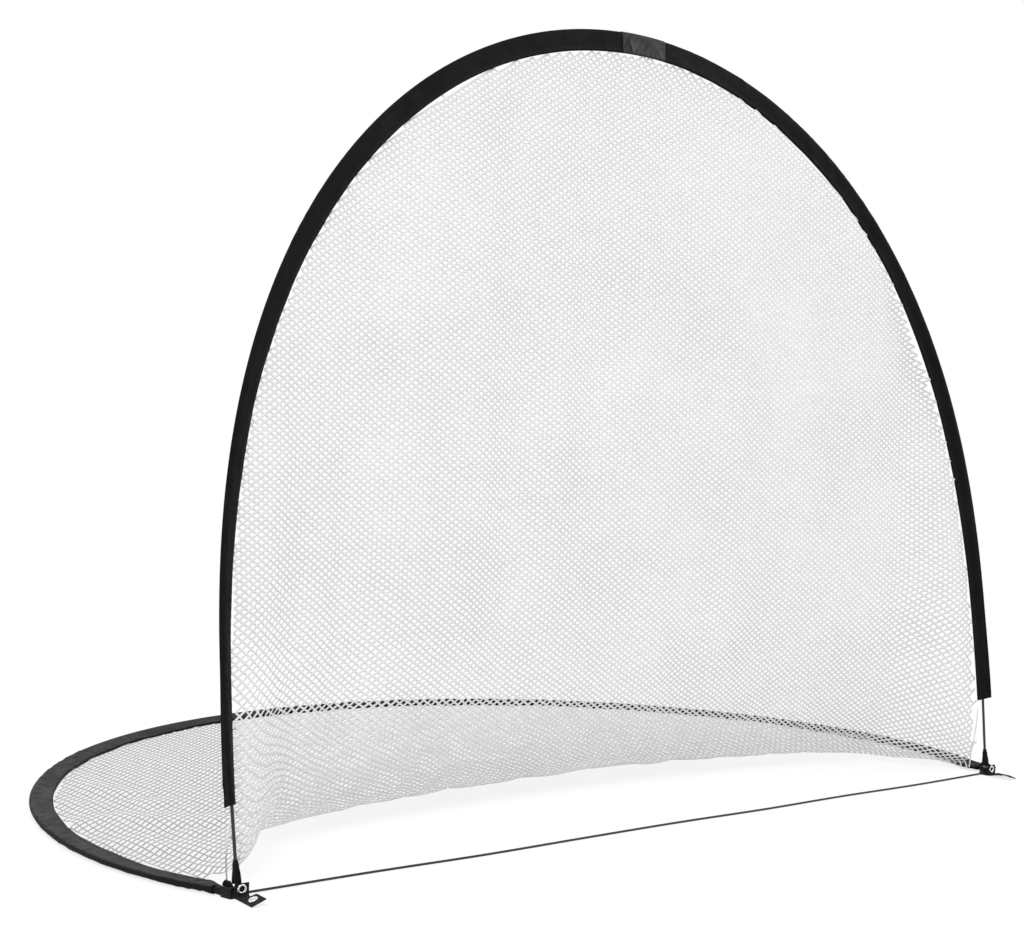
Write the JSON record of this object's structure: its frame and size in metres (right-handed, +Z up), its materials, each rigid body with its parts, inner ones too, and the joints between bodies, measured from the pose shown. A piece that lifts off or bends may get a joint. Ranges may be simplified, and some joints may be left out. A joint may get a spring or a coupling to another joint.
{
  "type": "pop-up soccer goal",
  "caption": "Pop-up soccer goal: a cloth-sleeved front hoop folds on corner hinges onto a ground hoop, with a full net between them and peg tabs at the corners.",
  "frame": {"origin": "middle of the footprint on the ground", "axes": "+X along the goal line, +Y from the mouth to the back, +Z up"},
  "size_m": [2.0678, 1.5054, 1.4996],
  "materials": {
    "cloth": "black satin polyester cloth",
    "rod": "black glass-fibre rod, slightly glossy",
    "steel": "zinc-plated pressed steel",
    "rubber": "matt black rubber",
    "webbing": "black woven webbing",
    "eyelet": "nickel-plated pressed eyelet",
    "net": "white knitted polyester net",
    "cord": "black braided cord",
    "patch": "bare black coated patch, sewn on"
  },
  "bodies": {
    "root": {"cord_knot_left": "cord", "cord_knot_right": "cord", "corner_eyelet_left": "eyelet", "corner_eyelet_right": "eyelet", "corner_shoe_left": "rubber", "corner_shoe_right": "rubber", "ground_boot_left": "cloth", "ground_boot_right": "cloth", "ground_cord": "cord", "ground_ferrule": "steel", "ground_rod_left": "rod", "ground_rod_right": "rod", "ground_sleeve": "cloth", "hinge_bracket_left": "steel", "hinge_bracket_right": "steel", "hinge_pin_left": "steel", "hinge_pin_right": "steel", "net": "net", "peg_tab_left": "webbing", "peg_tab_right": "webbing", "tab_eyelet_left": "eyelet", "tab_eyelet_right": "eyelet"},
    "front_hoop": {"crown_patch": "patch", "front_ferrule": "steel", "front_rod_left": "rod", "front_rod_right": "rod", "front_sleeve": "cloth", "leg_boot_left": "cloth", "leg_boot_right": "cloth", "leg_socket_left": "steel", "leg_socket_right": "steel"}
  },
  "joints": [
    {"name": "front_hoop_fold", "type": "hinge", "parent": "root", "child": "front_hoop", "pos_m": [0, -0.68162, 0.0105], "axis": [-1, 0, 0], "range_deg": [0, 80], "stiffness_Nm_per_rad": 2.5, "springref_deg": -28.65, "deforming": ["net"]}
  ]
}
